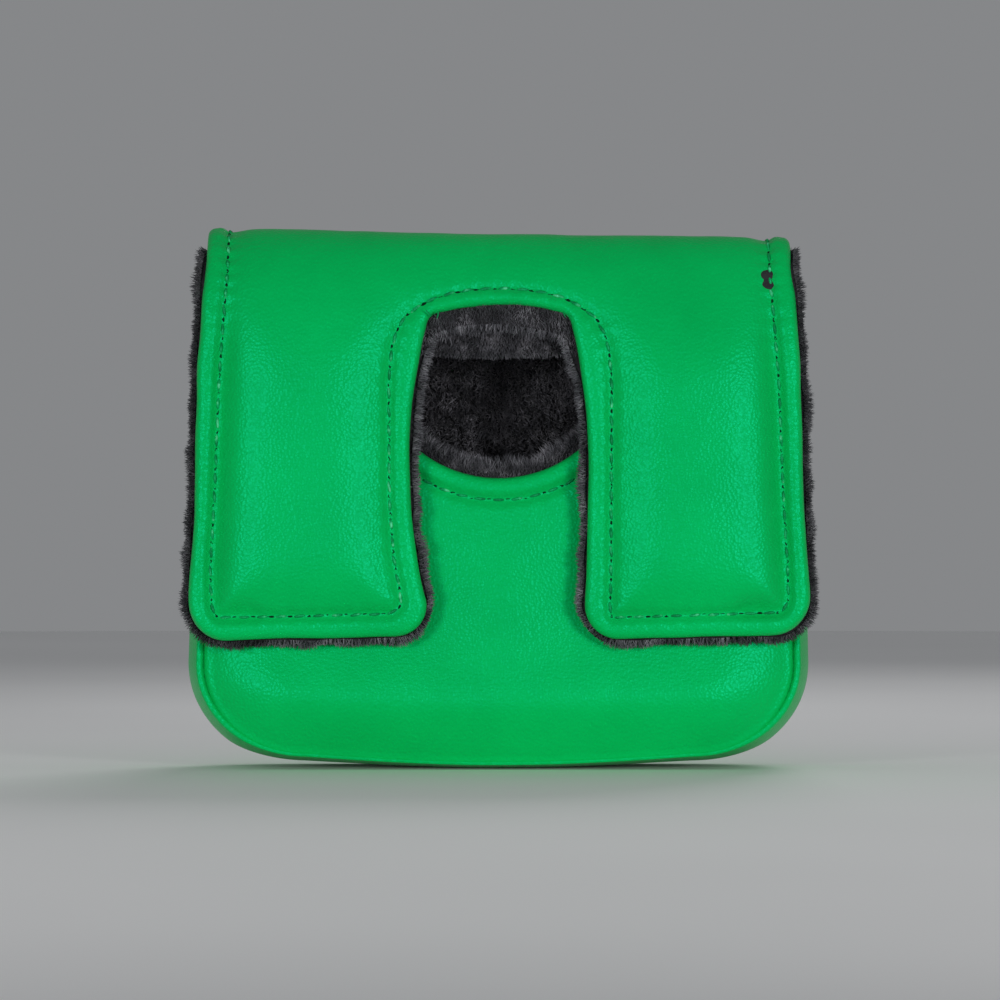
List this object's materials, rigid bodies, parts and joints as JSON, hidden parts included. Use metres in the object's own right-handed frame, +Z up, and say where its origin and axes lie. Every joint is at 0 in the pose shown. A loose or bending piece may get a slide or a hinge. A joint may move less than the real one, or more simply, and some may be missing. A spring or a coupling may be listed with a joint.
{
  "type": "putter head cover",
  "caption": "Padded leather head cover for a square mallet putter, with a plush-lined pocket and a fold-over magnetic flap slotted for the shaft.",
  "frame": {"origin": "middle of the footprint, level with the sole that the pouch stands on", "axes": "+Z up, the front with the slotted flap faces -Y, +X across the width, to the right of someone facing the front"},
  "size_m": [0.1436, 0.05, 0.121],
  "materials": {
    "leather_green": "green coated leather with a fine pebble grain and a soft satin sheen",
    "foam_dark": "dark open-cell padding foam, hidden between leather and plush",
    "plush_charcoal": "charcoal plush pile, deep and matte, with a soft halo of fibres",
    "thread_green": "bonded green thread, slightly glossy",
    "magnet_nickel": "nickel-plated disc magnet, sewn in and hidden"
  },
  "bodies": {
    "pouch": {"front_panel_leather": "leather_green", "front_panel_foam": "foam_dark", "front_panel_plush": "plush_charcoal", "neck_topstitch": "thread_green", "left_pouch_magnet": "magnet_nickel", "right_pouch_magnet": "magnet_nickel", "back_panel_leather": "leather_green", "back_panel_foam": "foam_dark", "back_panel_plush": "plush_charcoal", "back_panel_topstitch": "thread_green", "gusset_leather": "leather_green", "gusset_foam": "foam_dark", "gusset_plush": "plush_charcoal", "front_seam_stitching": "thread_green", "rear_seam_stitching": "thread_green"},
    "flap_top": {"flap_top_leather": "leather_green", "flap_top_foam": "foam_dark", "flap_top_plush": "plush_charcoal", "flap_top_left_topstitch": "thread_green", "flap_top_right_topstitch": "thread_green"},
    "flap_front": {"flap_front_leather": "leather_green", "flap_front_foam": "foam_dark", "flap_front_plush": "plush_charcoal", "flap_front_topstitch": "thread_green", "left_flap_magnet": "magnet_nickel", "right_flap_magnet": "magnet_nickel"}
  },
  "joints": [
    {"name": "back_fold", "type": "hinge", "parent": "pouch", "child": "flap_top", "pos_m": [0, 0.02383, 0.11983], "axis": [-1, 0, 0], "range_deg": [0, 175]},
    {"name": "front_fold", "type": "hinge", "parent": "flap_top", "child": "flap_front", "pos_m": [0, -0.02383, 0.11983], "axis": [-1, 0, 0], "range_deg": [0, 90]}
  ]
}
